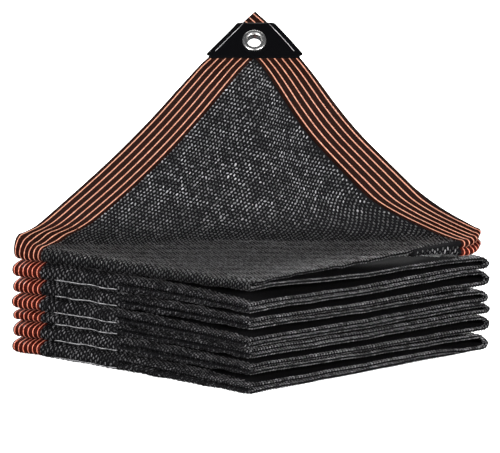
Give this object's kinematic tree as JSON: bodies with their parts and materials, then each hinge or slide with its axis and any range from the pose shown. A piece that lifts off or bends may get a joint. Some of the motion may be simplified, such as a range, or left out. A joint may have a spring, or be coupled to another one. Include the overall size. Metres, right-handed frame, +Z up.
{
  "type": "folded shade cloth",
  "caption": "Knitted black shade net with striped edge tape, folded into a square pile, its far corner, with a patch and eyelet, held up.",
  "frame": {"origin": "centre of the pile's underside, on the surface it lies on", "axes": "+Z up, the near corner of the pile towards -Y, the lifted corner above the middle and leaning back towards +Y"},
  "size_m": [0.4772, 0.4782, 0.3307],
  "materials": {
    "net": "glossy black knitted plastic tape yarn",
    "tape": "woven black edge tape with salmon lines",
    "patch": "smooth black coated fabric",
    "eyelet": "bright nickel"
  },
  "bodies": {
    "root": {"net_panel": "net", "edge_tape_side": "tape", "edge_tape_end": "tape", "corner_patch": "patch", "eyelet": "eyelet", "eyelet_washer": "eyelet"}
  },
  "joints": []
}
